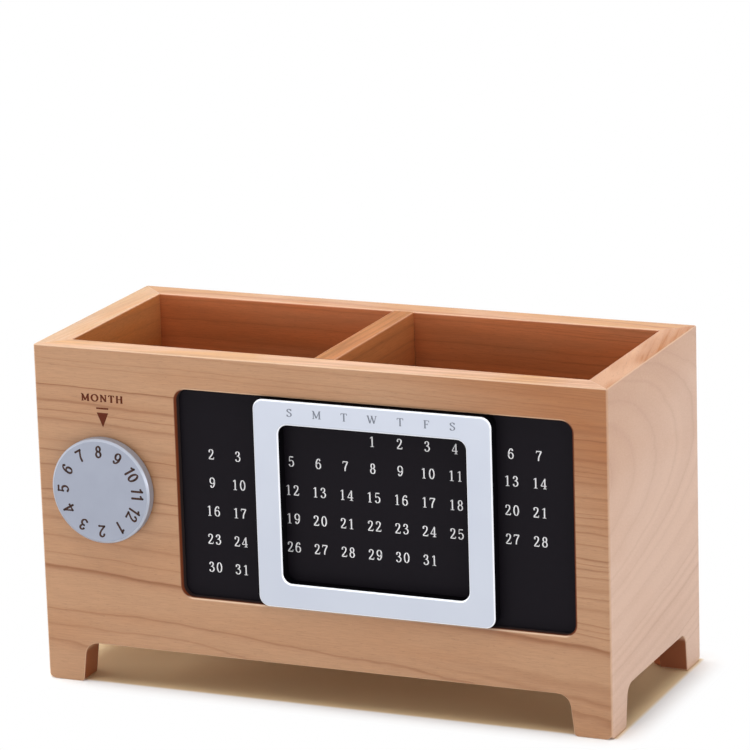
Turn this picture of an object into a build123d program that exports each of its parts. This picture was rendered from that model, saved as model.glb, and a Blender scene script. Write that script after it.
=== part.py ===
from build123d import *
from math import radians, sin, tan
import os

os.makedirs("parts", exist_ok=True)

# All sizes are in millimetres. +X is to the right as the dates are read, +Y runs from
# the front face to the back and +Z is up. The feet stand on Z = 0, and the origin is
# the middle of everything that stands over the table, the dial's projection included.

# Case: four boards mitred at the corners
case_width = 200.0
case_depth = 85.0
case_height = 115.0
board_thickness = 9.5
corner_round = 0.8  # sanded upright corners
rim_round = 0.5  # sanded edges of the rim
arch_round = 0.4  # sanded edges round the arches and feet

# Legs and the arch between each pair, the same on every side
leg_width = 12.9  # at the floor
leg_taper = 7.0  # degrees that the inner edge of a leg leans in
arch_height = 13.7
arch_fillet = 4.5
foot_round = 2.6  # rounded outer corners of the feet
foot_ease = 1.2  # and their inner corners

# Floor of the bays, a loose panel in a groove of the four boards
floor_height = 25.5  # top of the panel
panel_thickness = 6.0
groove_depth = 4.0
panel_slack = 0.3  # room for the panel to swell, each side
groove_slack = 0.1  # over the panel's top

# Divider, housed in the front and rear boards below the rim
divider_thickness = 7.4
divider_x = 0.0
housing_depth = 2.5
housing_stop = 6.0  # the housing ends this far below the rim
housing_slack = 0.1

# Recess in the front board with the printed date plate at its bottom
recess_left = 51.0  # left side of the case to the recess
recess_right = 12.0  # right side of the case to the recess
recess_top = 11.5  # rim to the recess
recess_bottom = 33.3  # table to the recess
recess_corner = 3.8
recess_round = 0.9  # eased front edge of the recess
plate_drop = 2.7  # face of the board to the face of the plate
plate_thickness = 1.0
plate_slack = 0.15
tape_thickness = 0.2
tape_inset = 3.0

# Weekday frame, guided by the top and bottom walls of the recess
frame_width = 82.3
frame_thickness = 4.5
frame_clearance = 0.3  # to each wall of the recess
frame_lift = 0.15  # back of the frame to the plate
frame_rest_shift = 1.0  # from the middle of the recess, as it stands at rest
side_bar = 8.65  # the bars of the frame, round its window
top_bar = 8.1
bottom_bar = 8.3
window_corner = 3.3
frame_bevel = 0.4  # bright cut edges

# Magnets in the back of the frame
magnet_radius = 3.0
magnet_thickness = 2.0
magnet_slack = 0.05

# Month dial with its hub and what holds it
dial_left = 24.4  # left side of the case to the dial's axis
dial_drop = 0.5  # the axis lies this much below the middle of the recess
dial_radius = 17.7
dial_thickness = 3.9
dial_gap = 0.4  # back of the dial to the board
dial_bevel = 0.7  # bright cut edge of the face
dial_back_chamfer = 0.3
hub_radius = 4.5
running_clearance = 0.06
bush_wall = 1.5
flange_radius = 8.0
flange_thickness = 0.8
flange_proud = 0.2
seat_slack = 0.03
pocket_radius = 9.0  # counterbore in the back of the front board
pocket_depth = 4.0
felt_thickness = 0.5
felt_slack = 0.1
washer_radius = 7.0
washer_thickness = 0.8
screw_radius = 1.5
screw_length = 7.0
screw_head_radius = 2.8
screw_head_height = 2.0
screw_head_chamfer = 0.5
cross_width = 0.7
cross_length = 3.4
cross_depth = 1.1
thread_slack = 0.05
tip_room = 1.0

# Sizes and places that follow
recess_width = case_width - recess_left - recess_right
recess_height = case_height - recess_top - recess_bottom
recess_x = (recess_left - recess_right) / 2
recess_z = recess_bottom + recess_height / 2
frame_height = recess_height - 2 * frame_clearance
frame_corner = recess_corner - frame_clearance
frame_x = recess_x + frame_rest_shift
window_width = frame_width - 2 * side_bar
window_height = frame_height - top_bar - bottom_bar
window_shift = (bottom_bar - top_bar) / 2
dial_x = dial_left - case_width / 2
dial_z = recess_z - dial_drop
frame_proud = frame_thickness + frame_lift - plate_drop
recess_depth = plate_drop + plate_thickness + tape_thickness
dial_proud = dial_gap + dial_thickness
front_reach = max(dial_proud, frame_proud)
front_y = (front_reach - case_depth) / 2
middle_y = front_y + case_depth / 2
back_y = front_y + case_depth
inner_width = case_width - 2 * board_thickness
inner_depth = case_depth - 2 * board_thickness
panel_bottom = floor_height - panel_thickness
bush_radius = hub_radius + running_clearance + bush_wall
hub_end = board_thickness - pocket_depth + felt_thickness + felt_slack
head_seat = hub_end + washer_thickness

# Planes of the four outer faces, each seen from outside with its local Y up
front_face = Plane(origin=(0, front_y, 0), x_dir=(1, 0, 0), z_dir=(0, -1, 0))
rear_face = Plane(origin=(0, back_y, 0), x_dir=(-1, 0, 0), z_dir=(0, 1, 0))
left_face = Plane(origin=(-case_width / 2, middle_y, 0), x_dir=(0, -1, 0), z_dir=(-1, 0, 0))
right_face = Plane(origin=(case_width / 2, middle_y, 0), x_dir=(0, 1, 0), z_dir=(1, 0, 0))

# Dial axis, and the half plane that its turned parts are drawn in: local X is the
# radius and local Y the depth behind the front face
dial_face = Plane(origin=(dial_x, front_y, dial_z), x_dir=(1, 0, 0), z_dir=(0, -1, 0))
turning_plane = Plane(origin=(dial_x, front_y, dial_z), x_dir=(1, 0, 0), z_dir=(0, 0, 1))
dial_axis = Axis((dial_x, front_y, dial_z), (0, 1, 0))


def board_outline(span):
    """A board as seen from outside: two tapered legs and the arch between."""
    foot_in = span / 2 - leg_width
    arch_in = foot_in - arch_height * tan(radians(leg_taper))
    with BuildSketch() as outline:
        with Locations((0, case_height / 2)):
            Rectangle(span, case_height)
        with BuildLine():
            Polyline((-foot_in, 0), (-arch_in, arch_height), (arch_in, arch_height), (foot_in, 0), close=True)
        make_face(mode=Mode.SUBTRACT)
        levels = outline.vertices().group_by(Axis.Y)
        fillet(levels[1], radius=arch_fillet)
        fillet(outline.vertices().group_by(Axis.Y)[0].sort_by(Axis.X)[1:-1], radius=foot_ease)
        floor_corners = outline.vertices().group_by(Axis.Y)[0].sort_by(Axis.X)
        fillet([floor_corners[0], floor_corners[-1]], radius=foot_round)
    return outline.sketch


def mitred_plan(span):
    """A board from above, local Y inward: mitred ends, each with half of its rounded corner."""
    half = span / 2
    tip = corner_round * (1 - sin(radians(45)))
    with BuildSketch() as plan:
        with BuildLine():
            CenterArc((half - corner_round, corner_round), corner_round, -90, 45)
            CenterArc((corner_round - half, corner_round), corner_round, -135, 45)
            Line((corner_round - half, 0), (half - corner_round, 0))
            Polyline(
                (half - tip, tip),
                (half - board_thickness, board_thickness),
                (board_thickness - half, board_thickness),
                (tip - half, tip),
            )
        make_face()
    return plan.sketch


def case_board(face, span):
    """One board of the case, with its rounded rim and the groove for the floor panel."""
    along = Axis(face.origin, face.x_dir)
    with BuildPart() as board:
        with BuildSketch(face):
            add(board_outline(span))
        extrude(amount=-board_thickness)
        with BuildSketch(Plane(origin=face.origin, x_dir=face.x_dir, z_dir=(0, 0, 1))):
            add(mitred_plan(span))
        extrude(amount=case_height, mode=Mode.INTERSECT)
        rim = board.edges().group_by(Axis.Z)[-1].filter_by(along)
        fillet(rim, radius=rim_round)
        outside = board.faces().sort_by(Axis(face.origin, face.z_dir))[-1]
        arch_edges = [edge for edge in outside.edges() if edge.bounding_box().max.Z < case_height / 2]
        fillet(arch_edges, radius=arch_round)
        with BuildSketch(face.offset(-board_thickness)):
            with Locations((0, panel_bottom + (panel_thickness + groove_slack) / 2)):
                Rectangle(span, panel_thickness + groove_slack)
        extrude(amount=groove_depth, mode=Mode.SUBTRACT)
    return board.part


def divider_housing(face):
    """The stopped slot behind a board that takes one end of the divider."""
    top = case_height - housing_stop
    with BuildPart() as slot:
        with BuildSketch(face.offset(-board_thickness)):
            with Locations((divider_x * face.x_dir.X, (floor_height + top) / 2)):
                Rectangle(divider_thickness + 2 * housing_slack, top - floor_height)
        extrude(amount=housing_depth)
    return slot.part


front_blank = case_board(front_face, case_width)
front_slot = divider_housing(front_face)
with BuildPart() as front_board:
    add(front_blank)
    add(front_slot, mode=Mode.SUBTRACT)
    with BuildSketch(front_face):
        with Locations((recess_x, recess_z)):
            RectangleRounded(recess_width, recess_height, recess_corner)
    extrude(amount=-recess_depth, mode=Mode.SUBTRACT)
    recess_edges = front_board.faces().sort_by(Axis.Y)[0].inner_wires()[0].edges()
    fillet(recess_edges, radius=recess_round)
    with Locations(dial_face):
        CounterBoreHole(
            radius=bush_radius + seat_slack,
            counter_bore_radius=flange_radius + seat_slack,
            counter_bore_depth=flange_thickness - flange_proud,
            depth=board_thickness,
        )
    with BuildSketch(dial_face.offset(-board_thickness)):
        Circle(pocket_radius)
    extrude(amount=pocket_depth, mode=Mode.SUBTRACT)
front_board.part.label = "front_board"
export_step(front_board.part, "parts/front_board.step")

rear_blank = case_board(rear_face, case_width)
rear_slot = divider_housing(rear_face)
with BuildPart() as rear_board:
    add(rear_blank)
    add(rear_slot, mode=Mode.SUBTRACT)
rear_board.part.label = "rear_board"
export_step(rear_board.part, "parts/rear_board.step")

left_blank = case_board(left_face, case_depth)
with BuildPart() as left_board:
    add(left_blank)
left_board.part.label = "left_board"
export_step(left_board.part, "parts/left_board.step")

right_blank = case_board(right_face, case_depth)
with BuildPart() as right_board:
    add(right_blank)
right_board.part.label = "right_board"
export_step(right_board.part, "parts/right_board.step")

# Divider: stands on the floor panel, its ends reach into the housings below the rim
end_reach = housing_depth - housing_slack
shoulder = case_height - housing_stop - housing_slack
half_inner = inner_depth / 2
half_housed = half_inner + end_reach
with BuildPart() as divider:
    with BuildSketch(Plane(origin=(divider_x, middle_y, 0), x_dir=(0, 1, 0), z_dir=(1, 0, 0))):
        with BuildLine():
            Polyline(
                (-half_housed, floor_height),
                (-half_housed, shoulder),
                (-half_inner, shoulder),
                (-half_inner, case_height),
                (half_inner, case_height),
                (half_inner, shoulder),
                (half_housed, shoulder),
                (half_housed, floor_height),
                close=True,
            )
        make_face()
    extrude(amount=divider_thickness / 2, both=True)
    fillet(divider.edges().group_by(Axis.Z)[-1].filter_by(Axis.Y), radius=rim_round)
divider.part.label = "divider"
export_step(divider.part, "parts/divider.step")

# Floor panel: its edges lie in the grooves with room to swell
panel_overhang = groove_depth - panel_slack
with BuildPart() as bottom_panel:
    with BuildSketch(Plane(origin=(0, middle_y, panel_bottom))):
        Rectangle(inner_width + 2 * panel_overhang, inner_depth + 2 * panel_overhang)
    extrude(amount=panel_thickness)
bottom_panel.part.label = "bottom_panel"
export_step(bottom_panel.part, "parts/bottom_panel.step")

# Date plate and the film that holds it, both at the bottom of the recess
with BuildPart() as date_plate:
    with BuildSketch(front_face.offset(-plate_drop)):
        with Locations((recess_x, recess_z)):
            RectangleRounded(
                recess_width - 2 * plate_slack,
                recess_height - 2 * plate_slack,
                recess_corner - plate_slack,
            )
    extrude(amount=-plate_thickness)
date_plate.part.label = "date_plate"
export_step(date_plate.part, "parts/date_plate.step")

with BuildPart() as plate_tape:
    with BuildSketch(front_face.offset(-plate_drop - plate_thickness)):
        with Locations((recess_x, recess_z)):
            Rectangle(recess_width - 2 * tape_inset, recess_height - 2 * tape_inset)
    extrude(amount=-tape_thickness)
plate_tape.part.label = "plate_tape"
export_step(plate_tape.part, "parts/plate_tape.step")

# Weekday frame: a window plate with bright cut edges and magnet pockets in its back
frame_back = front_face.offset(frame_proud - frame_thickness)
magnet_x = (frame_width + window_width) / 4
magnet_z = (frame_height + window_height) / 4
with BuildPart() as weekday_frame:
    with BuildSketch(frame_back):
        with Locations((frame_x, recess_z)):
            RectangleRounded(frame_width, frame_height, frame_corner)
        with Locations((frame_x, recess_z + window_shift)):
            RectangleRounded(window_width, window_height, window_corner, mode=Mode.SUBTRACT)
    extrude(amount=frame_thickness)
    chamfer(weekday_frame.faces().sort_by(Axis.Y)[0].edges(), length=frame_bevel)
    with BuildSketch(frame_back):
        with Locations((frame_x, recess_z)):
            with GridLocations(2 * magnet_x, 2 * magnet_z, 2, 2):
                Circle(magnet_radius + magnet_slack)
    extrude(amount=magnet_thickness + magnet_slack, mode=Mode.SUBTRACT)
weekday_frame.part.label = "weekday_frame"
export_step(weekday_frame.part, "parts/weekday_frame.step")

with BuildPart() as frame_magnets:
    with BuildSketch(frame_back.offset(magnet_slack)):
        with Locations((frame_x, recess_z)):
            with GridLocations(2 * magnet_x, 2 * magnet_z, 2, 2):
                Circle(magnet_radius)
    extrude(amount=magnet_thickness)
frame_magnets.part.label = "frame_magnets"
export_step(frame_magnets.part, "parts/frame_magnets.step")

# Month dial: a turned knob with its hub in one piece, drilled for the screw
drill_end = head_seat - screw_length - tip_room
with BuildPart() as month_dial:
    with BuildSketch(turning_plane):
        with BuildLine():
            Polyline(
                (0, -dial_proud),
                (dial_radius, -dial_proud),
                (dial_radius, -dial_gap),
                (hub_radius, -dial_gap),
                (hub_radius, hub_end),
                (screw_radius + thread_slack, hub_end),
                (screw_radius + thread_slack, drill_end),
                (0, drill_end),
                close=True,
            )
        make_face()
    revolve(axis=dial_axis)
    rims = month_dial.edges().filter_by(GeomType.CIRCLE).group_by(SortBy.RADIUS)[-1].sort_by(Axis.Y)
    chamfer(rims[0], length=dial_bevel)
    chamfer(rims[-1], length=dial_back_chamfer)
month_dial.part.label = "month_dial"
export_step(month_dial.part, "parts/month_dial.step")

# Bush: flange under the dial, barrel through the board
with BuildPart() as dial_bush:
    with BuildSketch(turning_plane):
        with BuildLine():
            Polyline(
                (hub_radius + running_clearance, -flange_proud),
                (flange_radius, -flange_proud),
                (flange_radius, flange_thickness - flange_proud),
                (bush_radius, flange_thickness - flange_proud),
                (bush_radius, board_thickness - pocket_depth),
                (hub_radius + running_clearance, board_thickness - pocket_depth),
                close=True,
            )
        make_face()
    revolve(axis=dial_axis)
dial_bush.part.label = "dial_bush"
export_step(dial_bush.part, "parts/dial_bush.step")

# Behind the board: felt ring, steel washer on the end of the hub, and the screw
with BuildPart() as friction_washer:
    with BuildSketch(dial_face.offset(pocket_depth - board_thickness)):
        Circle(washer_radius)
        Circle(bush_radius, mode=Mode.SUBTRACT)
    extrude(amount=-felt_thickness)
friction_washer.part.label = "friction_washer"
export_step(friction_washer.part, "parts/friction_washer.step")

with BuildPart() as retaining_washer:
    with BuildSketch(dial_face.offset(-hub_end)):
        Circle(washer_radius)
        Circle(screw_radius + thread_slack, mode=Mode.SUBTRACT)
    extrude(amount=-washer_thickness)
retaining_washer.part.label = "retaining_washer"
export_step(retaining_washer.part, "parts/retaining_washer.step")

with BuildPart() as dial_screw:
    with BuildSketch(dial_face.offset(-head_seat)):
        Circle(screw_head_radius)
    extrude(amount=-screw_head_height)
    chamfer(dial_screw.edges().sort_by(Axis.Y)[-1], length=screw_head_chamfer)
    with BuildSketch(dial_face.offset(-head_seat)):
        Circle(screw_radius)
    extrude(amount=screw_length)
    with BuildSketch(dial_face.offset(-head_seat - screw_head_height)):
        Rectangle(cross_length, cross_width)
        Rectangle(cross_width, cross_length)
    extrude(amount=cross_depth, mode=Mode.SUBTRACT)
dial_screw.part.label = "dial_screw"
export_step(dial_screw.part, "parts/dial_screw.step")
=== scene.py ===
import math

import bmesh
import bpy
import numpy as np
from mathutils import Matrix, Vector


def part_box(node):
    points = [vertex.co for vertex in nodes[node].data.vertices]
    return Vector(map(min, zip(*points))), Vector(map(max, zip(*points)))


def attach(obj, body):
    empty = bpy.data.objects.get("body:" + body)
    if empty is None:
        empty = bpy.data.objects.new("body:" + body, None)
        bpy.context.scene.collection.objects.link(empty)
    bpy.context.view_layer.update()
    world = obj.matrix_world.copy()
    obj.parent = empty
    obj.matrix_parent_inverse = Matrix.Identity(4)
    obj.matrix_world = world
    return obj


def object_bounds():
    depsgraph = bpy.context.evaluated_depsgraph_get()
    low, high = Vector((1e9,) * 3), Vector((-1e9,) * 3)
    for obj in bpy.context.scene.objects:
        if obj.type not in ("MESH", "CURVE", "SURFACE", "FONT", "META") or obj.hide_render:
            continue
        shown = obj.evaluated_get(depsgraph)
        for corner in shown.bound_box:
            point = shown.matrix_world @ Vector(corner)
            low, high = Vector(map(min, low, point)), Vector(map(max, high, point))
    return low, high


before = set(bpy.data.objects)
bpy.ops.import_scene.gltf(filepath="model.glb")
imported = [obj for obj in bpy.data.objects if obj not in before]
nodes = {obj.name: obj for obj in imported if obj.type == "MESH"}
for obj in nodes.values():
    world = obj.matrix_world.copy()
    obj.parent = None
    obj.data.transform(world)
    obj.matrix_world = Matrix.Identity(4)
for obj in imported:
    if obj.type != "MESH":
        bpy.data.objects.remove(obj)        # bodies, nodes, joints and the record, as packed
cadBox = [list(corner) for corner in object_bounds()]
print("the packed desk calendar is loaded:", ", ".join(sorted(nodes)))

mm = 0.001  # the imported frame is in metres
boxLow, boxHigh = (Vector(corner) for corner in cadBox)
plateLow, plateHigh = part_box("date_plate")
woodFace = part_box("front_board")[0].y
noiseSpan = (0.3, 0.7)  # nearly all values of a noise lie between these
bevelRays = 6           # rays that look for an edge near a point


# Small helpers

def linearColour(code):
    # sRGB hex to linear: the dark end is divided by 12.92, the rest is raised to the power 2.4
    channels = np.array([int(code[i:i + 2], 16) for i in (1, 3, 5)]) / 255
    linear = np.where(channels <= 0.04045, channels / 12.92, ((channels + 0.055) / 1.055) ** 2.4)
    return (*linear.tolist(), 1.0)


def setInputs(tree, node, inputs):
    # an input is a number, a colour or the socket that feeds it
    for name, value in inputs.items():
        if isinstance(value, bpy.types.NodeSocket):
            tree.links.new(value, node.inputs[name])
        else:
            node.inputs[name].default_value = value


def addNode(tree, kind, inputs=None, stops=None, **settings):
    # adds a node with its settings and inputs, and a ramp with its stops, each a place and a grey
    node = tree.nodes.new(kind)
    for name, value in settings.items():
        setattr(node, name, value)
    setInputs(tree, node, inputs or {})
    if stops:
        elements = node.color_ramp.elements
        for place, _ in stops[2:]:
            elements.new(place)
        for element, (place, grey) in zip(elements, stops):
            element.position = place
            element.color = (grey, grey, grey, 1)
    return node


def mathNode(tree, operation, first, second=0.0):
    return addNode(tree, "ShaderNodeMath", {0: first, 1: second}, operation=operation).outputs[0]


def vectorNode(tree, operation, *inputs, output="Vector"):
    node = addNode(tree, "ShaderNodeVectorMath", dict(enumerate(inputs)), operation=operation)
    return node.outputs[output]


def between(tree, value, low, high, first=0.0, second=1.0, **settings):
    # as the value goes from low to high, the result goes from first to second
    return addNode(tree, "ShaderNodeMapRange", {"Value": value, "From Min": low, "From Max": high,
                   "To Min": first, "To Max": second}, **settings).outputs[0]


def uneven(tree, noise, middle, spread):
    # a value that goes up and down with the noise, by up to the spread
    return between(tree, noise, *noiseSpan, middle - spread, middle + spread)


def tint(tree, share, first, second):
    # a colour that goes from the first to the second as share goes from 0 to 1
    colours = [linearColour(tone) if isinstance(tone, str) else tone for tone in (first, second)]
    return addNode(tree, "ShaderNodeMix", {0: share, 6: colours[0], 7: colours[1]},
                   data_type="RGBA").outputs[2]


def blend(tree, share, first, second):
    # a number that does the same
    return addNode(tree, "ShaderNodeMix", {0: share, 2: first, 3: second}, data_type="FLOAT").outputs[0]


def shaded(tree, colour, factor):
    # the colour made lighter or darker by a factor
    return addNode(tree, "ShaderNodeVectorMath", {0: colour, "Scale": factor}, operation="SCALE").outputs[0]


def clouds(tree, place, size, detail=2.0):
    # noise with patches about size mm across
    return addNode(tree, "ShaderNodeTexNoise", {"Vector": place, "Scale": 1 / (size * mm),
                   "Detail": detail}).outputs["Fac"]


def newMaterial(name):
    material = bpy.data.materials.new(name)
    material.use_nodes = True
    tree = material.node_tree
    return material, tree, tree.nodes["Principled BSDF"]


def finishNode(node, material):
    slots = nodes[node].data.materials
    slots.clear()
    slots.append(material)


# The four boards, the divider and the floor panel: cherry

# For each piece: the axes that its broad faces look along and its grain runs along, where the pith of
# the tree ran (mm), how the grain is turned against X (degrees), the seed of its noises, the width of a
# year's growth (mm), how strong its thin line is at the grain's start and at the end of its run, how
# strong its soft band and its flecks are, the tones of early and late wood and of the redder wood, the
# way along which the wood turns red and from where to where (mm), the two tones that lie in patches on
# the rim, and the rim's roughness. On the inner faces of the rear and left boards the red is painted
# warm shade, and the rim's tones are the wood's streaks with painted sheen and shade on the tops. Some
# have more: recessed says that the plate's recess is in it, another number says how strong the painted
# highlight on its edges is against the others', and patchSeed moves the patches on its rim
boardCuts = {
    "front_board": {
        "faces": "Y", "along": "X", "pith": (-100, 39.65, -6), "turn": (0, 0, 1.9), "seed": 3.1,
        "year": 3.7, "line": (1.0, 1.0), "band": 0.2, "fleck": 1.0,
        "early": "#AD825F", "late": "#80481F", "redTone": "#9C6030",
        "redWay": (0.5, 0, 0.87), "redFrom": 105, "redTo": 136,
        "rim": ("#CA9660", "#D4A684"), "rimRoughness": 0.4, "recessed": True,
    },
    "rear_board": {
        "faces": "Y", "along": "X", "pith": (-100, 10, -22), "turn": (0, 0, -2.5), "seed": 11.7,
        "year": 4.6, "line": (0.45, 0.45), "band": 0.25, "fleck": 1.0,
        "early": "#B08661", "late": "#74381C", "redTone": "#C47040",
        # the inner face turns to the redder tone: painted warm shade inside the bays
        "redWay": (0, -1, 0), "redFrom": -43, "redTo": -36,
        "rim": ("#C29060", "#C89C78"), "rimRoughness": 0.45,
    },
    "right_board": {
        "faces": "X", "along": "Y", "pith": (70, -40.35, 88), "turn": (0, 0, 103.4), "seed": 6.3,
        "year": 4.8, "line": (0.27, 0.62), "band": 0.2, "fleck": 0.35,
        "early": "#C8A38B", "late": "#94603F", "redTone": "#BC9072",
        "redWay": (0, -0.35, 0.94), "redFrom": 66, "redTo": 110,
        "rim": ("#9A5A1E", "#C29474"), "rimRoughness": 0.55, "highlightShare": 0.45, "patchSeed": 31.0,
    },
    "left_board": {
        "faces": "X", "along": "Y", "pith": (-62, -40, 24), "turn": (0, 0, 84), "seed": 19.4,
        "year": 4.6, "line": (0.6, 0.6), "band": 0.25, "fleck": 1.0,
        "early": "#AE8460", "late": "#82502F", "redTone": "#C87C40",
        # the inner face turns to the redder tone: painted warm shade inside the bays
        "redWay": (1, 0, 0), "redFrom": -99, "redTo": -92,
        "rim": ("#C69A68", "#CCA47E"), "rimRoughness": 0.34,
    },
    "divider": {
        "faces": "X", "along": "Y", "pith": (24, 0, -18), "turn": (0, 0, 88), "seed": 27.9,
        "year": 4.4, "line": (0.6, 0.6), "band": 0.25, "fleck": 1.0,
        "early": "#C27C48", "late": "#7A4424", "redTone": "#B0663A",
        "redWay": (0, 1, 0), "redFrom": -40, "redTo": 120,
        "rim": ("#8C5624", "#9A642E"), "rimRoughness": 0.6, "highlightShare": 0.2,
    },
    "bottom_panel": {
        "faces": "Z", "along": "X", "pith": (0, -70, -26), "turn": (0, 0, 3), "seed": 33.2,
        "year": 5.2, "line": (0.6, 0.6), "band": 0.2, "fleck": 1.0,
        "early": "#B98B62", "late": "#875636", "redTone": "#A8724C",
        "redWay": (1, 0, 0), "redFrom": -100, "redTo": 200,
        "rim": ("#B98B62", "#B98B62"), "rimRoughness": 0.5,
    },
}
cherry = {
    "wander": {"drift": 4.8, "bend": 1.2, "waver": 0.5},  # mm that these noises move a year line
    "irregular": 3.2,         # years by which the lines get out of step with an even count
    "weather": 0.09,          # how often they do, in waves for each mm outwards
    "lineRun": 200,           # mm of grain over which the thin line changes its strength
    "secondRun": (120, 185),  # mm of grain over which the second line comes in, and how strong it gets
    "secondLine": 0.5,
    "weakest": (0.15, 0.3),   # what the weakest year keeps of its thin line and of its soft band
    "reddest": 0.9,           # how far the wood turns to its redder tone before the clouds add to it
    "fibreSpan": (0.32, 0.68),    # the noise of the darkest and of the palest fibre
    "fibreTones": (0.08, 0.06),   # how much darker and how much paler than its tone a fibre gets
    "fleckTones": (0.16, 0.3),    # how much darker a fleck is, on the faces and on the rim
    "noiseRoughness": 0.55,
    "ripple": 0.010,          # mm of raised grain, and how much of it the light shows
    "relief": 0.35,
    "arris": 0.45,            # mm over which an edge is eased by sanding
    "sanded": "#EBCDB0",      # a painted highlight, on edges and on the recess's lip
    "endGrainAndShade": "#803C16",    # sawn across the fibres, where the oil soaked in, and darker still as painted shade under the arches
    "singed": "#602600",      # the recess's walls: the cutter's scorch with painted shade, then painted shade deep down (the next)
    "deepRecessShade": "#1C0804",
    "scorchedRoughness": 0.95,
    "index": 1.5,             # of refraction
}
# The noises in the wood: how long each is along the grain and how wide across it (mm), its detail and
# its seed. Fibres and flecks are several times as wide as real ones, so that they show
woodNoise = {
    "drift": (120, 40, 1.0, 0.0),    # the long, the shorter and the short waves of the year lines
    "bend": (30, 9, 1.0, 5.0),
    "waver": (9, 3, 1.0, 7.0),
    "cloud": (90, 16, 2.0, 9.0),     # where the wood is redder
    "fibre": (8, 0.3, 3.0, 13.0),
    "fleck": (2.2, 0.22, 1.0, 17.0),    # short flecks of gum
    "streak": (40, 1.3, 2.0, 21.0),     # where the rim's tones, with their painted sheen and shade, show
    "patch": (30, 12, 1.0, 25.0),       # which of its two tones it is
}
# How dark a year is as it runs from 0 to 1: its thin line, its soft band and its fainter second line
yearStops = {
    "thin": [(0.0, 0.7), (0.05, 0.1), (0.1, 0.0), (0.7, 0.0), (0.85, 0.2), (0.92, 0.65), (0.965, 1.0),
             (1.0, 0.7)],
    "soft": [(0.0, 1.0), (0.3, 0.15), (0.6, 0.0), (0.85, 0.6), (1.0, 1.0)],
    "second": [(0.3, 0.0), (0.4, 0.5), (0.46, 1.0), (0.52, 0.0)],
}
# Where a look shows: as what is measured goes from the first number to the second, the look's share
# goes from the third to the fourth
woodShares = {
    "cloud": (0.35, 0.65, -0.15, 0.2),  # redder tone that the cloud adds or takes away
    "streak": (0.38, 0.62, 0.45, 1.0),
    "patch": (0.4, 0.6, 0.0, 1.0),
    "fleck": (0.62, 0.74, 0.0, 1.0),
    "satin": (0.3, 0.7, 0.40, 0.30),    # roughness, by the fibre
    "rim": (0.85, 0.97, 0.0, 1.0),      # by how far the surface looks up
    "litFromAbove": (0.0, 0.3, 0.25, 0.5),      # by the same: a painted highlight, stronger on an edge that looks up than on an upright one
    "sawn": (0.75, 0.95, 0.0, 0.9),     # by how far it looks along the grain
    "eased": (0.995, 0.90, 0.0, 1.0),   # by the cosine between the eased surface and the flat one
    "narrow": (0.06, 0.2, 0.0, 1.0),    # by how far it looks the way of the broad faces, as the next is:
    "broad": (0.98, 0.88, 0.0, 1.0),    # a rounded edge is neither the narrow face nor the broad one
    "lipHighlight": (0.03, 0.15, 0.0, 0.22),     # by the depth in the recess (mm), as the next two are: painted highlight on the lip, the cutter's scorch with painted shade, and painted shade deep down
    "scorchAndShade": (0.28, 0.5, 0.0, 1.0),
    "deepShade": (0.7, 1.1, 0.0, 1.0),
    "side": (0.1, 0.4, 0.0, 1.0),       # painted shade on the recess's left and right sides, by how far it looks to the side
}
# How round the plate's corners are, and how far out from the plate and how deep in the board the
# recess is looked for (mm)
recess = {"corner": 3.65, "reach": 1.5, "deep": 5.0}


def yearLines(tree, grain, noise, cut):
    # How much late wood shows at a point. Years are counted outwards from the pith line: the count is
    # the distance divided by the width of a year, plus the weather's noise. Its whole part numbers the
    # year, and the rest says how far that year has run
    warped = grain
    for name, far in cherry["wander"].items():
        warped = vectorNode(tree, "MULTIPLY_ADD", noise(name)["Color"], (0, far, far), warped)
    section = vectorNode(tree, "MULTIPLY", warped, (0, 1, 1))
    distance = vectorNode(tree, "LENGTH", section, output="Value")
    weather = addNode(tree, "ShaderNodeTexNoise", {"W": distance, "Scale": cherry["weather"]},
                      noise_dimensions="1D").outputs["Fac"]
    count = mathNode(tree, "ADD", mathNode(tree, "DIVIDE", distance, cut["year"]),
                     mathNode(tree, "MULTIPLY", weather, cherry["irregular"]))
    run = mathNode(tree, "FRACT", count)
    chance = addNode(tree, "ShaderNodeTexWhiteNoise", {"W": mathNode(tree, "FLOOR", count)},
                     noise_dimensions="1D").outputs["Value"]
    thin, soft, second = (addNode(tree, "ShaderNodeValToRGB", {"Fac": run}, stops=yearStops[name]).outputs[0]
                          for name in ("thin", "soft", "second"))
    # the thin line changes along the grain, where towards one end a second, fainter one comes in
    along = addNode(tree, "ShaderNodeSeparateXYZ", {0: grain}).outputs["X"]
    weakThin, weakSoft = cherry["weakest"]
    thin = mathNode(tree, "MULTIPLY", thin, between(tree, along, 0, cherry["lineRun"], *cut["line"]))
    thin = mathNode(tree, "MULTIPLY", thin, between(tree, chance, 0, 1, weakThin, 1.0))
    fading = between(tree, along, *cherry["secondRun"], 0.0, cherry["secondLine"])
    thin = mathNode(tree, "MAXIMUM", thin, mathNode(tree, "MULTIPLY", second, fading))
    soft = mathNode(tree, "MULTIPLY", soft, cut["band"])
    soft = mathNode(tree, "MULTIPLY", soft, between(tree, chance, 0, 1, weakSoft, 1.0))
    return mathNode(tree, "MAXIMUM", thin, soft)


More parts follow.
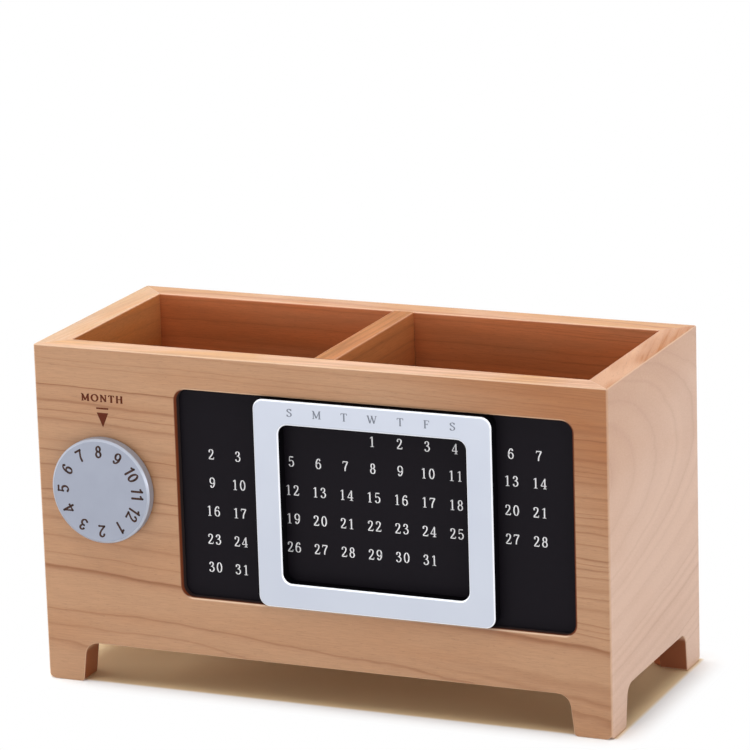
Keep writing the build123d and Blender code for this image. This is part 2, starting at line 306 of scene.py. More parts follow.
def earlyTone(tree, place, rim, noise, cut):
    # The tone between the year lines: early wood that turns to the redder tone along one way, while the
    # clouds shift where it does, and on the rim streaks of its two tones. The red on the inner faces of the
    # rear and left boards is painted warm shade, and the rim's tones carry painted sheen and shade
    way = [value / mm for value in cut["redWay"]]
    towards = vectorNode(tree, "DOT_PRODUCT", place, way, output="Value")
    red = mathNode(tree, "ADD", between(tree, towards, cut["redFrom"], cut["redTo"], 0.0, cherry["reddest"]),
                   between(tree, noise("cloud")["Fac"], *woodShares["cloud"]))
    tone = tint(tree, mathNode(tree, "MAXIMUM", red, 0.0), cut["early"], cut["redTone"])
    # the rim's tones, in patches: the wood's streaks with painted sheen and shade on the tops
    rimToneAndSheen = tint(tree, between(tree, noise("patch")["Fac"], *woodShares["patch"]), *cut["rim"])
    streaks = between(tree, noise("streak")["Fac"], *woodShares["streak"])
    return tint(tree, mathNode(tree, "MULTIPLY", rim, streaks), tone, rimToneAndSheen)


def fibreShade(tree, fibre, rim, noise, cut):
    # How much darker or paler the fibres make the tone, times what the flecks leave of it
    dark, pale = (part * cut["fleck"] for part in cherry["fibreTones"])
    onFace, onRim = cherry["fleckTones"]
    depth = between(tree, rim, 0, 1, onFace * cut["fleck"], onRim)
    flecked = mathNode(tree, "MULTIPLY", between(tree, noise("fleck")["Fac"], *woodShares["fleck"]), depth)
    fibres = between(tree, fibre, *cherry["fibreSpan"], 1 - dark, 1 + pale)
    return mathNode(tree, "MULTIPLY", fibres, mathNode(tree, "SUBTRACT", 1.0, flecked))


def wornEdges(tree, normal, eased, cut):
    # How much painted highlight an edge gets, more where it looks up. An edge is where the eased surface
    # leaves the flat one, and where a rounded one turns from the broad face to the narrow one
    flat = addNode(tree, "ShaderNodeNewGeometry").outputs["Normal"]
    same = vectorNode(tree, "DOT_PRODUCT", eased, flat, output="Value")
    facing = mathNode(tree, "ABSOLUTE", normal[cut["faces"]])
    rounded = mathNode(tree, "MULTIPLY", between(tree, facing, *woodShares["narrow"]),
                       between(tree, facing, *woodShares["broad"]))
    edge = mathNode(tree, "MAXIMUM", between(tree, same, *woodShares["eased"]), rounded)
    litFromAbove = between(tree, normal["Z"], *woodShares["litFromAbove"])
    litFromAbove = mathNode(tree, "MULTIPLY", litFromAbove, cut.get("highlightShare", 1.0))
    return mathNode(tree, "MULTIPLY", edge, litFromAbove)


def recessShares(tree, place, normal):
    # How much the recess shows of the painted highlight on its lip, of its wall's brown, which is the
    # cutter's scorch with painted shade, and of the painted shade at its bottom. The two sides are brown
    # from the face on, as painted shade. The recess is where a point lies near the plate's outline, round
    # its corners too, and not deep in the board
    middle = (plateHigh + plateLow) / 2
    half = (plateHigh - plateLow) / 2 / mm
    corner = recess["corner"]
    centred = vectorNode(tree, "ABSOLUTE", vectorNode(tree, "SUBTRACT", place, middle[:]))
    beyond = vectorNode(tree, "MULTIPLY_ADD", centred, (1 / mm, 0, 1 / mm),
                        (corner - half.x, 0, corner - half.z))
    beyond = vectorNode(tree, "MAXIMUM", beyond, (0, 0, 0))
    away = vectorNode(tree, "LENGTH", beyond, output="Value")
    depth = addNode(tree, "ShaderNodeSeparateXYZ", {0: place}).outputs["Y"]
    depth = mathNode(tree, "DIVIDE", mathNode(tree, "SUBTRACT", depth, woodFace), mm)
    inside = mathNode(tree, "MULTIPLY", mathNode(tree, "LESS_THAN", away, corner + recess["reach"]),
                      mathNode(tree, "LESS_THAN", depth, recess["deep"]))
    lipHighlight, scorchAndShade, deepShade = (between(tree, depth, *woodShares[name]) for name in ("lipHighlight", "scorchAndShade", "deepShade"))
    side = between(tree, mathNode(tree, "ABSOLUTE", normal["X"]), *woodShares["side"])
    scorchAndShade = mathNode(tree, "MAXIMUM", scorchAndShade, side)
    return [mathNode(tree, "MULTIPLY", inside, share) for share in (lipHighlight, scorchAndShade, deepShade)]


def cherryWood(name, cut):
    # Solid cherry, planed, sanded and oiled: thin brown year lines over short silky fibres, with a
    # low sheen that turns whitish where it is seen at a slant, and a painted highlight along its edges
    material, tree, shader = newMaterial(name)
    textures = addNode(tree, "ShaderNodeTexCoord")
    place = textures.outputs["Object"]
    normal = addNode(tree, "ShaderNodeSeparateXYZ", {0: textures.outputs["Normal"]}).outputs
    turn = [math.radians(angle) for angle in cut["turn"]]
    pith = [value * mm for value in cut["pith"]]
    # millimetres about the pith line, X along the grain
    grain = addNode(tree, "ShaderNodeMapping", {"Vector": place, "Location": pith, "Rotation": turn,
                    "Scale": (mm, mm, mm)}, vector_type="TEXTURE").outputs[0]

    def noise(kind):
        # one of the wood's noises, laid along this piece's grain
        length, width, detail, seed = woodNoise[kind]
        seed = cut.get(kind + "Seed", seed)
        stretched = vectorNode(tree, "MULTIPLY_ADD", grain, (1 / length, 1 / width, 1 / width),
                               (cut["seed"] + seed, 0, seed))
        return addNode(tree, "ShaderNodeTexNoise", {"Vector": stretched, "Scale": 1.0, "Detail": detail,
                       "Roughness": cherry["noiseRoughness"]}).outputs

    rim = between(tree, normal["Z"], *woodShares["rim"])
    fibre = noise("fibre")["Fac"]
    tone = earlyTone(tree, place, rim, noise, cut)
    colour = tint(tree, yearLines(tree, grain, noise, cut), tone, cut["late"])
    colour = shaded(tree, colour, fibreShade(tree, fibre, rim, noise, cut))
    satin = blend(tree, rim, between(tree, fibre, *woodShares["satin"]), cut["rimRoughness"])

    # sawn ends are dark, partly as painted shade, and edges are pale as a painted highlight
    endways = mathNode(tree, "ABSOLUTE", normal[cut["along"]])
    colour = tint(tree, between(tree, endways, *woodShares["sawn"]), colour, cherry["endGrainAndShade"])
    eased = addNode(tree, "ShaderNodeBevel", {"Radius": cherry["arris"] * mm}, samples=bevelRays).outputs[0]
    colour = tint(tree, wornEdges(tree, normal, eased, cut), colour, cherry["sanded"])
    if cut.get("recessed", False):
        # on the recess: painted highlight on the lip, scorch with painted shade on the walls, painted shade
        # deep down
        lipHighlight, scorchAndShade, deepShade = recessShares(tree, place, normal)
        colour = tint(tree, lipHighlight, colour, cherry["sanded"])
        colour = tint(tree, scorchAndShade, colour, cherry["singed"])
        colour = tint(tree, deepShade, colour, cherry["deepRecessShade"])
        satin = blend(tree, scorchAndShade, satin, cherry["scorchedRoughness"])

    surface = addNode(tree, "ShaderNodeBump", {"Height": fibre, "Strength": cherry["relief"], "Normal": eased,
                      "Distance": cherry["ripple"] * mm}).outputs[0]
    setInputs(tree, shader, {"Base Color": colour, "Roughness": satin, "Normal": surface,
              "IOR": cherry["index"]})
    return material


for board, cut in boardCuts.items():
    finishNode(board, cherryWood("oiled_cherry_" + board, cut))
print("the boards are cut from cherry")


# Metal, plate, bush, felt and small parts

# The face has two tones, a cut edge and a wall have one each, and the crown is how far a cut edge turns
# to the front. The cut edge is bare metal made paler as a painted highlight, and the wall's tone is a
# painted reflection, dark on the frame and pale on the dial. Grit and haze are mm across, a pit is mm
# deep, and ease is the mm over which an edge is eased. Grit and pits are a little coarser than those of
# real bead blasting, so that they show
frameLook = {
    "dark": "#BFC4D1", "pale": "#C7CCD7", "roughness": 0.36, "metallic": 1.0,
    "cut": "#EEF0F6", "cutRoughness": 0.4, "crown": 1.0,
    "wall": "#151317", "wallRoughness": 0.75,
    "grit": 0.16, "haze": 18, "pit": 0.004, "ease": 0.3,
}
dialLook = {
    "dark": "#9297A5", "pale": "#9BA0AE", "roughness": 0.42, "metallic": 0.6,
    "cut": "#AEB3C0", "cutRoughness": 0.36, "crown": 0.1,
    "wall": "#A3A8B5", "wallRoughness": 0.5,
    "grit": 0.16, "haze": 9, "pit": 0.004, "ease": 0.4,
}
# The slope is how far the surface looks along the depth: 1 on the face, 0 on a wall
metal = {
    "cutSlope": 0.7071,                # of an edge cut at 45 degrees
    "cut": (0.17, 0.25, 1.0, 0.0),     # the edge's share, by how far the slope is from that
    "wall": (0.25, 0.45, 1.0, 0.0),    # the wall's share, by the slope
    "spread": 0.03,                    # by which the roughness goes up and down
    "relief": 0.3,                     # how much of the pits the light shows
}


def blastedAluminium(name, look):
    # Aluminium, bead blasted and anodised, with its edges cut bright afterwards and paler still as a painted
    # highlight: a pale satin face with thin shining lines round it, and walls whose tone is a painted
    # reflection
    material, tree, shader = newMaterial(name)
    textures = addNode(tree, "ShaderNodeTexCoord")
    along = addNode(tree, "ShaderNodeSeparateXYZ", {0: textures.outputs["Normal"]}).outputs["Y"]
    slope = mathNode(tree, "ABSOLUTE", along)
    off = mathNode(tree, "ABSOLUTE", mathNode(tree, "SUBTRACT", slope, metal["cutSlope"]))
    bright = between(tree, off, *metal["cut"])
    wall = between(tree, slope, *metal["wall"])
    grit = clouds(tree, textures.outputs["Object"], look["grit"])
    haze = clouds(tree, textures.outputs["Object"], look["haze"])
    colour = tint(tree, haze, look["dark"], look["pale"])
    # painted highlight on the cut edge, painted reflection on the wall
    colour = tint(tree, bright, colour, look["cut"])
    colour = tint(tree, wall, colour, look["wall"])
    satin = uneven(tree, grit, look["roughness"], metal["spread"])
    satin = blend(tree, bright, satin, look["cutRoughness"])
    satin = blend(tree, wall, satin, look["wallRoughness"])
    eased = addNode(tree, "ShaderNodeBevel", {"Radius": look["ease"] * mm}, samples=bevelRays).outputs[0]
    # the cutter left the slope slightly round towards the face, so it catches the light from the front
    eased = vectorNode(tree, "MULTIPLY_ADD", bright, (0, -look["crown"], 0), eased)
    eased = vectorNode(tree, "NORMALIZE", eased)
    height = mathNode(tree, "MULTIPLY", grit, mathNode(tree, "SUBTRACT", 1.0, bright))
    pitted = addNode(tree, "ShaderNodeBump", {"Height": height, "Strength": metal["relief"],
                     "Normal": eased, "Distance": look["pit"] * mm}).outputs[0]
    setInputs(tree, shader, {"Base Color": colour, "Roughness": satin, "Normal": pitted,
              "Metallic": look["metallic"]})
    return material


# How much the roughness goes up and down, the detail of the grain and how much of it the light shows
speckle = {"spread": 0.04, "detail": 3.0, "relief": 0.4}


def speckled(name, look):
    # Covers the small parts: one tone with another clouded through it, in grains of the look's mm
    # across and depth
    material, tree, shader = newMaterial(name)
    place = addNode(tree, "ShaderNodeTexCoord").outputs["Object"]
    grain = clouds(tree, place, look["grain"], speckle["detail"])
    bump = addNode(tree, "ShaderNodeBump", {"Height": grain, "Strength": speckle["relief"],
                   "Distance": look["depth"] * mm}).outputs[0]
    setInputs(tree, shader, {"Base Color": tint(tree, grain, look["dark"], look["pale"]),
              "Roughness": uneven(tree, grain, look["roughness"], speckle["spread"]), "Normal": bump,
              "Metallic": look.get("metallic", 0.0), "Specular IOR Level": look.get("gloss", 0.5)})
    return material


smallParts = {
    # satin black enamel on steel: nearly black, with hardly any shine from the front
    "date_plate": ("satin_black_enamel", {
        "dark": "#141116", "pale": "#18151A", "roughness": 0.45, "grain": 0.4, "depth": 0.004,
        "gloss": 0.05}),
    # acrylic tape: milky film
    "plate_tape": ("milky_acrylic_tape", {
        "dark": "#C9C6BC", "pale": "#D6D3CA", "roughness": 0.45, "grain": 1.5, "depth": 0.01}),
    # turned acetal: waxy white plastic
    "dial_bush": ("turned_white_acetal", {
        "dark": "#DEDCD4", "pale": "#EAE8E1", "roughness": 0.4, "grain": 0.6, "depth": 0.004}),
    # pressed wool felt: dark and fibrous
    "friction_washer": ("pressed_grey_felt", {
        "dark": "#3A3836", "pale": "#5C5955", "roughness": 0.9, "grain": 0.25, "depth": 0.08}),
    # bright zinc plating: cool grey metal with a faint bloom
    "retaining_washer": ("bright_zinc_plate", {
        "dark": "#B4B7BA", "pale": "#CBCED1", "roughness": 0.3, "grain": 1.2, "depth": 0.004,
        "metallic": 1.0}),
    "dial_screw": ("bright_zinc_screw", {
        "dark": "#B4B7BA", "pale": "#CBCED1", "roughness": 0.26, "grain": 0.8, "depth": 0.003,
        "metallic": 1.0}),
    # nickel plated magnets: warm mirror
    "frame_magnets": ("nickel_plate", {
        "dark": "#BDB8AE", "pale": "#CFCAC1", "roughness": 0.18, "grain": 1.0, "depth": 0.002,
        "metallic": 1.0}),
}
finishNode("weekday_frame", blastedAluminium("blasted_aluminium_frame", frameLook))
finishNode("month_dial", blastedAluminium("blasted_aluminium_dial", dialLook))
for node, (name, look) in smallParts.items():
    finishNode(node, speckled(name, look))
print("metal, enamel, acetal and felt are on")


# Lettering: strokes of ink with a rounded section

spanSteps = 6       # steps of a curve from one of its points to the next
loopPoints = 25


def line(x0, y0, x1, y1, weight=None):
    # a straight stroke, whose weight goes from 0 for a thin one to 1 for a thick one
    return np.array([(x0, y0), (x1, y1)], float), weight


def curve(*points):
    # a smooth line through the points: on each span a cubic whose slope at a point is half the
    # step from the point before it to the point after it
    points = np.array(points, float)
    slopes = np.gradient(points, axis=0)
    t = np.linspace(0, 1, spanSteps, endpoint=False)[None, :, None]
    spans = ((2 * t**3 - 3 * t**2 + 1) * points[:-1, None] + (t**3 - 2 * t**2 + t) * slopes[:-1, None]
             + (3 * t**2 - 2 * t**3) * points[1:, None] + (t**3 - t**2) * slopes[1:, None])
    return np.vstack([spans.reshape(-1, 2), points[-1:]]), None


def loop(x, y, across, up):
    # a closed ellipse
    angle = np.linspace(0, 2 * np.pi, loopPoints)
    return np.column_stack([x + across * np.cos(angle), y + up * np.sin(angle)]), None


def flipped(strokes, width):
    # the same strokes turned half round in their cell
    return [(np.array([width, 1.0]) - path, weight) for path, weight in strokes]


# Each sign stands in a cell one unit high: its width, its strokes, its serifs and its round dots
digitWidth = 0.64
sixStrokes = [curve((0.48, 0.87), (0.38, 0.965), (0.23, 0.88), (0.12, 0.64), (0.1, 0.34)),
              loop(0.32, 0.31, 0.22, 0.285)]
signs = {
    "0": (digitWidth, [loop(0.32, 0.5, 0.22, 0.47)], [], []),
    "1": (digitWidth, [line(0.34, 0.98, 0.34, 0.02), line(0.15, 0.82, 0.34, 0.97, 0.2)],
          [line(0.17, 0.02, 0.51, 0.02)], []),
    "2": (digitWidth, [curve((0.11, 0.76), (0.16, 0.9), (0.3, 0.965), (0.46, 0.89), (0.49, 0.72),
                             (0.41, 0.5), (0.25, 0.28), (0.09, 0.07)), line(0.08, 0.05, 0.55, 0.05, 0.5)],
          [line(0.55, 0.04, 0.58, 0.22)], [(0.14, 0.76)]),
    "3": (digitWidth, [curve((0.12, 0.8), (0.18, 0.91), (0.31, 0.965), (0.45, 0.88), (0.46, 0.7),
                             (0.36, 0.57), (0.23, 0.53)),
                       curve((0.23, 0.53), (0.41, 0.5), (0.52, 0.38), (0.52, 0.2), (0.41, 0.06),
                             (0.25, 0.03), (0.11, 0.11))], [], [(0.14, 0.79), (0.13, 0.16)]),
    "4": (digitWidth, [line(0.43, 0.97, 0.05, 0.28, 0.15), line(0.05, 0.27, 0.6, 0.27, 0.3),
                       line(0.43, 0.98, 0.43, 0.02)], [line(0.27, 0.02, 0.59, 0.02)], []),
    "5": (digitWidth, [line(0.14, 0.94, 0.52, 0.94, 0.55), line(0.14, 0.95, 0.115, 0.53, 0.1),
                       curve((0.115, 0.53), (0.25, 0.6), (0.42, 0.57), (0.52, 0.42), (0.52, 0.22),
                             (0.41, 0.06), (0.25, 0.03), (0.11, 0.11))], [], [(0.13, 0.16)]),
    "6": (digitWidth, sixStrokes, [], [(0.47, 0.84)]),
    "7": (digitWidth, [line(0.08, 0.93, 0.56, 0.93, 0.6),
                       curve((0.55, 0.93), (0.4, 0.63), (0.29, 0.35), (0.26, 0.03))],
          [line(0.08, 0.96, 0.06, 0.75)], []),
    "8": (digitWidth, [loop(0.32, 0.74, 0.17, 0.22), loop(0.32, 0.27, 0.21, 0.245)], [], []),
    "9": (digitWidth, flipped(sixStrokes, digitWidth), [], [(0.17, 0.16)]),
    "F": (0.58, [line(0.16, 0.97, 0.16, 0.03), line(0.16, 0.96, 0.51, 0.96, 0.1),
                 line(0.16, 0.52, 0.38, 0.52, 0.1)],
          [line(0.05, 0.97, 0.16, 0.97), line(0.05, 0.03, 0.28, 0.03), line(0.51, 0.97, 0.53, 0.77),
           line(0.38, 0.62, 0.38, 0.42)], []),
    "H": (0.76, [line(0.16, 0.97, 0.16, 0.03), line(0.6, 0.97, 0.6, 0.03), line(0.16, 0.52, 0.6, 0.52, 0.1)],
          [line(0.05, 0.97, 0.27, 0.97), line(0.05, 0.03, 0.27, 0.03), line(0.49, 0.97, 0.71, 0.97),
           line(0.49, 0.03, 0.71, 0.03)], []),
    "M": (0.9, [line(0.17, 0.97, 0.17, 0.03, 0.2), line(0.17, 0.96, 0.45, 0.1, 1.0),
                line(0.45, 0.1, 0.73, 0.96, 0.1), line(0.74, 0.97, 0.74, 0.03, 1.0)],
          [line(0.05, 0.97, 0.19, 0.97), line(0.06, 0.03, 0.28, 0.03), line(0.72, 0.97, 0.86, 0.97),
           line(0.62, 0.03, 0.86, 0.03)], []),
    "N": (0.76, [line(0.15, 0.97, 0.15, 0.03, 0.2), line(0.15, 0.96, 0.61, 0.05, 1.0),
                 line(0.61, 0.97, 0.61, 0.05, 0.2)],
          [line(0.04, 0.97, 0.18, 0.97), line(0.05, 0.03, 0.26, 0.03), line(0.5, 0.97, 0.72, 0.97)], []),
    "O": (0.78, [loop(0.39, 0.5, 0.31, 0.47)], [], []),
    "S": (0.56, [curve((0.45, 0.8), (0.38, 0.92), (0.26, 0.965), (0.12, 0.88), (0.12, 0.7), (0.26, 0.55),
                       (0.41, 0.43), (0.46, 0.26), (0.39, 0.09), (0.25, 0.035), (0.12, 0.1), (0.08, 0.22))],
          [line(0.46, 0.97, 0.46, 0.74), line(0.075, 0.03, 0.075, 0.28)], []),
    "T": (0.62, [line(0.31, 0.97, 0.31, 0.03), line(0.05, 0.96, 0.57, 0.96, 0.1)],
          [line(0.05, 0.97, 0.04, 0.76), line(0.57, 0.97, 0.58, 0.76), line(0.2, 0.03, 0.42, 0.03)], []),
    "W": (0.96, [line(0.1, 0.97, 0.3, 0.05, 1.0), line(0.3, 0.05, 0.48, 0.9, 0.1),
                 line(0.47, 0.95, 0.67, 0.05, 1.0), line(0.67, 0.05, 0.86, 0.97, 0.1)],
          [line(0.01, 0.97, 0.2, 0.97), line(0.38, 0.97, 0.57, 0.97), line(0.77, 0.97, 0.94, 0.97)], []),
}
# Pens in shares of the sign's height; the nib's angle leans the thick strokes; film in mm
datePen = {"thick": 0.125, "thin": 0.055, "nib": 0.0, "dot": 0.075, "serifs": True, "film": 0.03}
weekPen = {"thick": 0.14, "thin": 0.07, "nib": 0.35, "dot": 0.06, "serifs": True, "film": 0.02}
dialPen = {"thick": 0.2, "thin": 0.13, "nib": 0.5, "serifs": False, "film": 0.02}
labelPen = {"thick": 0.21, "thin": 0.12, "nib": 0.3, "dot": 0.06, "serifs": True, "film": 0.015}
shoulder = 0.7              # how far out the film is at its full thickness, in shares of half its width
dotSections = 9
dotReach = 1.45             # radians each side of a dot's middle that its sections go to


def inkStroke(path, half, pen):
    # a closed rod of ink along the path: each cross-section has four points, two on the surface at
    # the full width and two raised by the film's thickness at the shoulders
    step = np.gradient(path, axis=0)
    step /= np.linalg.norm(step, axis=1, keepdims=True)
    side = np.column_stack([-step[:, 1], step[:, 0]])
    offset = np.array([-1.0, -shoulder, shoulder, 1.0])
    flat = path[:, None, :] + side[:, None, :] * (half[:, None] * offset)[:, :, None]
    lift = np.broadcast_to(np.array([0, 1, 1, 0]) * pen["film"], flat.shape[:2])
    return np.dstack([flat, lift])


def setSign(sign, pen):
    # The grids of one sign. A stroke with no weight of its own is as wide as its direction makes it,
    # thick down and thin across: its weight is the sine of its angle to the nib. A pen without serifs
    # has round ends instead
    width, strokes, serifs, dots = signs[sign]
    if pen["serifs"]:
        strokes = strokes + [(path, 0.0) for path, _ in serifs]
        radius = pen["dot"]
    else:
        dots = [end for path, _ in strokes for end in (path[0], path[-1])]
        radius = pen["thick"] / 2
    grids = []
    for path, weight in strokes:
        step = np.gradient(path, axis=0)
        if weight is None:
            weight = np.abs(np.sin(np.arctan2(step[:, 1], step[:, 0]) - pen["nib"]))
        full = pen["thin"] + (pen["thick"] - pen["thin"]) * weight * np.ones(len(path))
        grids.append(inkStroke(path, full / 2, pen))
    across = radius * np.sin(np.linspace(-dotReach, dotReach, dotSections))
    for x, y in dots:
        disc = np.column_stack([x + across, np.full(dotSections, y)])
        grids.append(inkStroke(disc, np.sqrt(radius**2 - across**2), pen))
    return grids, width


def setWord(word, pen, gap):
    # signs side by side with the same gap, centred on zero both ways
    grids, at = [], 0.0
    for sign in word:
        made, width = setSign(sign, pen)
        grids += [grid + np.array([at, 0, 0]) for grid in made]
        at += width + gap
    middle = np.array([(at - gap) / 2, 0.5, 0])
    return [grid - middle for grid in grids]


def placeGrids(grids, height, x, y, z, turn=0.0, wide=1.0):
    # scales the signs to their height in metres, widens them, turns them clockwise and stands them
    # on a plane that faces -Y
    cosine, sine = math.cos(turn), math.sin(turn)
    placed = []
    for grid in grids:
        across, up, lift = grid[..., 0] * height * wide, grid[..., 1] * height, grid[..., 2]
        placed.append(np.stack([x + cosine * across + sine * up, y - lift * mm,
                                z - sine * across + cosine * up], axis=-1))
    return placed


def meshFromGrids(name, grids, material, body):
    # each grid is a run of closed four-sided sections: faces between neighbouring sections and a
    # cap at each end
    points, faces, start = [], [], 0
    for grid in grids:
        rows, columns = grid.shape[:2]
        row, column = np.meshgrid(np.arange(rows - 1), np.arange(columns), indexing="ij")
        beside = (column + 1) % columns
        quads = np.stack([row * columns + column, row * columns + beside, (row + 1) * columns + beside,
                          (row + 1) * columns + column], -1)
        ends = np.array([np.arange(columns)[::-1], (rows - 1) * columns + np.arange(columns)])
        faces.append(np.vstack([quads.reshape(-1, 4), ends]) + start)
        points.append(grid.reshape(-1, 3))
        start += rows * columns
    points, faces = np.vstack(points), np.vstack(faces)
    mesh = bpy.data.meshes.new(name)
    mesh.from_pydata(points.tolist(), [], faces.tolist())
    shell = bmesh.new()
    shell.from_mesh(mesh)
    bmesh.ops.recalc_face_normals(shell, faces=shell.faces)
    shell.to_mesh(mesh)
    shell.free()
    mesh.materials.append(material)
    piece = bpy.data.objects.new(name, mesh)
    bpy.context.scene.collection.objects.link(piece)
    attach(piece, body)


ink = {"patch": 0.5, "tone": (0.9, 1.04)}    # mm across a patch of tone, and how dark and pale it gets


def inkFilm(name, look):
    # Screen printed ink, paint in an engraving or a burnt mark: an opaque film, a little uneven in tone
    material, tree, shader = newMaterial(name)
    place = addNode(tree, "ShaderNodeTexCoord").outputs["Object"]
    tone = between(tree, clouds(tree, place, ink["patch"]), *noiseSpan, *ink["tone"])
    setInputs(tree, shader, {"Base Color": shaded(tree, linearColour(look["inkColour"])[:3], tone),
              "Roughness": look["inkRoughness"], "Specular IOR Level": look["inkGloss"]})
    return material


# Dates on the plate: seven columns would fill the window, thirteen let it slide to any weekday. The
# signs' height and places are in mm and the gap between them is a share of their height, here and
# below. The blanks are the empty places before the first date
dates = {
    "height": 3.45, "gap": 0.16, "columns": 13, "firstX": 10.7, "stepX": 9.503,
    "rowsBelowTop": (12.55, 21.5, 31.1, 40.65, 50.25, 59.75),
    "blanks": 6, "week": 7, "last": 31,
    "inkColour": "#DEDDDF", "inkRoughness": 0.5, "inkGloss": 0.5,
}
grids = []
for row, below in enumerate(dates["rowsBelowTop"]):
    for column in range(dates["columns"]):
        number = dates["week"] * row + column + 1 - dates["blanks"]
        if 1 <= number <= dates["last"]:
            x = plateLow.x + (dates["firstX"] + column * dates["stepX"]) * mm
            grids += placeGrids(setWord(str(number), datePen, dates["gap"]), dates["height"] * mm,
                                x, plateLow.y, plateHigh.z - below * mm)
meshFromGrids("date_numbers", grids, inkFilm("white_screen_ink", dates), "case")

# Weekday initials on the sliding frame, widened, with the same gap (mm) from letter to letter
weekdays = {
    "letters": "SMTWTFS", "height": 2.65, "wide": 1.4, "gap": 6.77, "below": 3.8,
    "inkColour": "#6E737F", "inkRoughness": 0.5, "inkGloss": 0.5,
}
frameLow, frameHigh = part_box("weekday_frame")
frameMiddle = (frameLow + frameHigh) / 2
weekGap = weekdays["gap"] / weekdays["height"] / weekdays["wide"]  # as a share of the height
grids = placeGrids(setWord(weekdays["letters"], weekPen, weekGap), weekdays["height"] * mm, frameMiddle.x,
                   frameLow.y, frameHigh.z - weekdays["below"] * mm, wide=weekdays["wide"])
meshFromGrids("weekday_initials", grids, inkFilm("grey_screen_ink", weekdays), "frame")

# Months round the dial, their tops outwards, with one of them under the pointer
months = {
    "height": 3.9, "gap": -0.04, "radius": 13.5, "step": 30, "last": 12, "atTop": 8,
    "inkColour": "#3E2820", "inkRoughness": 0.6, "inkGloss": 0.2,
}
dialLow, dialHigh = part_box("month_dial")
dialMiddle = (dialLow + dialHigh) / 2
grids = []
for month in range(1, months["last"] + 1):
    turn = math.radians(months["step"] * (month - months["atTop"]))
    x = dialMiddle.x + months["radius"] * mm * math.sin(turn)
    z = dialMiddle.z + months["radius"] * mm * math.cos(turn)
    grids += placeGrids(setWord(str(month), dialPen, months["gap"]), months["height"] * mm,
                        x, dialLow.y, z, turn)
meshFromGrids("month_numbers", grids, inkFilm("brown_filled_engraving", months), "dial")

# The label, bar and pointer burnt into the wood over the dial
label = {
    "word": "MONTH", "height": 2.4, "wide": 1.49, "gap": 0.12, "middleZ": 98.4,
    "barZ": 94.95, "barHalf": 2.2, "barThick": 0.55,
    "pointerTop": 93.5, "pointerHalf": 2.1, "pointerTip": 88.7, "tipHalf": 0.05,
    "inkColour": "#5A2818", "inkRoughness": 0.8, "inkGloss": 0.15,
}
grids = placeGrids(setWord(label["word"], labelPen, label["gap"]), label["height"] * mm,
                   dialMiddle.x, woodFace, label["middleZ"] * mm, wide=label["wide"])
bar = np.array([(-label["barHalf"], label["barZ"]), (label["barHalf"], label["barZ"])])
pointer = np.array([(0, label["pointerTop"]), (0, label["pointerTip"])])
barHalves = (label["barThick"] / 2, label["barThick"] / 2)
pointerHalves = (label["pointerHalf"], label["tipHalf"])
for path, halves in ((bar, barHalves), (pointer, pointerHalves)):
    # from mm to metres, all but the film's thickness
    stroke = inkStroke(path, np.array(halves), labelPen) * np.array([mm, mm, 1])
    grids += placeGrids([stroke], 1.0, dialMiddle.x, woodFace, 0.0)
meshFromGrids("month_label", grids, inkFilm("burnt_mark", label), "case")
print("numbers, initials and the month label are drawn")


# Floor, light and camera

studio = {
    "ambient": 0.2,           # what the surroundings give, a fraction of full white
    "floorPaper": "#F6F6F6",
    "floorUnder": "#E4CAA2",  # the same paper in the warm light under the wood
    "floorRoughness": 0.9,
    "floorHalf": 3.0,
    "frontInset": 0.007,      # metres behind the front where the paper starts to turn plain white: a painted glow over the shadow under the front
    "fade": 0.012,            # metres over which it does so; on the other sides it starts at the outline
    "warmFade": 0.0015,       # metres over which the warm light ends
}
# Each lamp: the way to it from the object, how far it is (m), its width and height (m), the share it
# gives of the light that shows a colour as it is written, and whether it shows in gloss
lamps = {
    "overhead": {"way": (-0.08, -0.05, 0.99), "far": 1.4, "size": (1.4, 1.4), "share": 1.35,
                 "gloss": False},
    "front_strip": {"way": (-0.25, -0.96, 0.12), "far": 1.6, "size": (2.0, 0.34), "share": 0.3,
                    "gloss": True},
    "right_strip": {"way": (0.97, -0.2, 0.12), "far": 1.6, "size": (1.6, 0.34), "share": 0.42,
                    "gloss": True},
    "left_strip": {"way": (-0.96, 0.1, 0.2), "far": 1.6, "size": (1.6, 0.34), "share": 0.8,
                   "gloss": False},
    "rear_strip": {"way": (-0.5, 0.84, 0.22), "far": 1.6, "size": (1.2, 0.5), "share": 0.3,
                   "gloss": False},
}
view = {
    "azimuth": 23.545, "elevation": 14.656, "roll": -1.740,       # degrees
    "distance": 1.36854, "target": (0.02182, -0.04035, 0.11367),  # metres
    "lens": 207.54, "sensor": 36.0,                               # millimetres
}


def cameraSeesWhite(tree):
    # 1 for the rays that show a background: those of the camera, of reflections and through glass
    rays = addNode(tree, "ShaderNodeLightPath").outputs
    glossy = mathNode(tree, "MAXIMUM", rays["Is Camera Ray"], rays["Is Glossy Ray"])
    return mathNode(tree, "MAXIMUM", glossy, rays["Is Transmission Ray"])


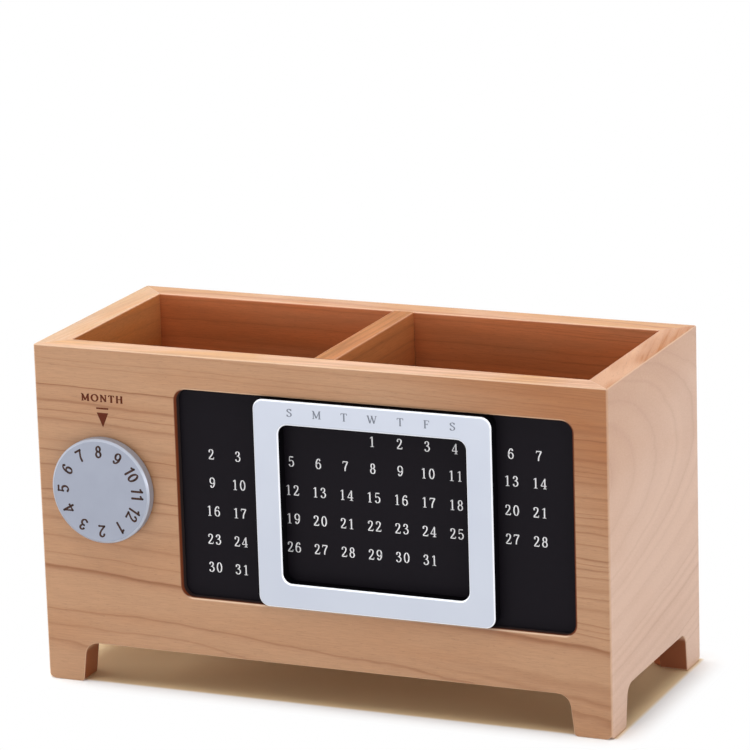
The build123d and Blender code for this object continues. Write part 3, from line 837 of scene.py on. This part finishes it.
def whitePaper():
    # Matt paper sweep: shows the soft shadow near the object and fades to white away from it
    material, tree, shader = newMaterial("white_paper_sweep")
    place = addNode(tree, "ShaderNodeTexCoord").outputs["Object"]
    middle = (boxLow + boxHigh) / 2
    half = (boxHigh - boxLow) / 2
    middle.y += studio["frontInset"] / 2
    half.y -= studio["frontInset"] / 2
    # how far a point lies outside the object's outline
    away = vectorNode(tree, "ABSOLUTE", vectorNode(tree, "SUBTRACT", place, middle[:]))
    away = vectorNode(tree, "SUBTRACT", away, (half.x, half.y, 1.0))
    away = vectorNode(tree, "MAXIMUM", away, (0, 0, 0))
    away = vectorNode(tree, "LENGTH", away, output="Value")
    plain = between(tree, away, 0.0, studio["warmFade"])
    paper = tint(tree, plain, studio["floorUnder"], studio["floorPaper"])
    setInputs(tree, shader, {"Base Color": paper, "Roughness": studio["floorRoughness"],
              "Specular IOR Level": 0.0})
    fade = between(tree, away, 0.0, studio["fade"], interpolation_type="SMOOTHSTEP")
    share = mathNode(tree, "MULTIPLY", fade, cameraSeesWhite(tree))
    glow = addNode(tree, "ShaderNodeEmission", {"Color": (1, 1, 1, 1), "Strength": 1.0}).outputs[0]
    both = addNode(tree, "ShaderNodeMixShader", {0: share, 1: shader.outputs[0], 2: glow}).outputs[0]
    tree.links.new(both, tree.nodes["Material Output"].inputs["Surface"])
    return material


def makeFloor():
    half = studio["floorHalf"]
    corners = [(-half, -half, 0), (half, -half, 0), (half, half, 0), (-half, half, 0)]
    mesh = bpy.data.meshes.new("paper_floor")
    mesh.from_pydata(corners, [], [(0, 1, 2, 3)])
    mesh.materials.append(whitePaper())
    floor = bpy.data.objects.new("paper_floor", mesh)
    bpy.context.scene.collection.objects.link(floor)


def makeLight():
    world = bpy.data.worlds.new("white_studio")
    bpy.context.scene.world = world
    world.use_nodes = True
    tree = world.node_tree
    strength = between(tree, cameraSeesWhite(tree), 0.0, 1.0, studio["ambient"], 1.0)
    setInputs(tree, tree.nodes["Background"], {"Color": (1, 1, 1, 1), "Strength": strength})
    for name, lamp in lamps.items():
        light = bpy.data.lights.new(name, "AREA")
        light.shape = "RECTANGLE"
        light.size, light.size_y = lamp["size"]
        # a flat lamp gives pi squared watts for each square metre of its distance to match full white
        light.energy = math.pi ** 2 * lamp["share"] * lamp["far"] ** 2
        softbox = bpy.data.objects.new(name, light)
        softbox.visible_glossy = lamp["gloss"]
        way = Vector(lamp["way"]).normalized()
        softbox.location = (boxLow + boxHigh) / 2 + way * lamp["far"]
        softbox.rotation_euler = way.to_track_quat("Z", "Y").to_euler()
        bpy.context.scene.collection.objects.link(softbox)


def makeCamera():
    # back is the way from the target to the camera; level and upright span the picture before it rolls
    azimuth, elevation, roll = (math.radians(view[name]) for name in ("azimuth", "elevation", "roll"))
    back = Vector((math.sin(azimuth) * math.cos(elevation), -math.cos(azimuth) * math.cos(elevation),
                   math.sin(elevation)))
    level = Vector((0, 0, 1)).cross(back).normalized()
    upright = back.cross(level)
    right = level * math.cos(roll) + upright * math.sin(roll)
    up = upright * math.cos(roll) - level * math.sin(roll)
    lens = bpy.data.cameras.new("camera")
    lens.lens, lens.sensor_width = view["lens"], view["sensor"]
    camera = bpy.data.objects.new("camera", lens)
    turned = Matrix((right, up, back)).transposed().to_4x4()
    camera.matrix_world = Matrix.Translation(Vector(view["target"]) + back * view["distance"]) @ turned
    bpy.context.scene.collection.objects.link(camera)
    bpy.context.scene.camera = camera


makeFloor()
makeLight()
makeCamera()
bpy.context.scene.view_settings.view_transform = "Standard"
print("floor, light and camera are set")
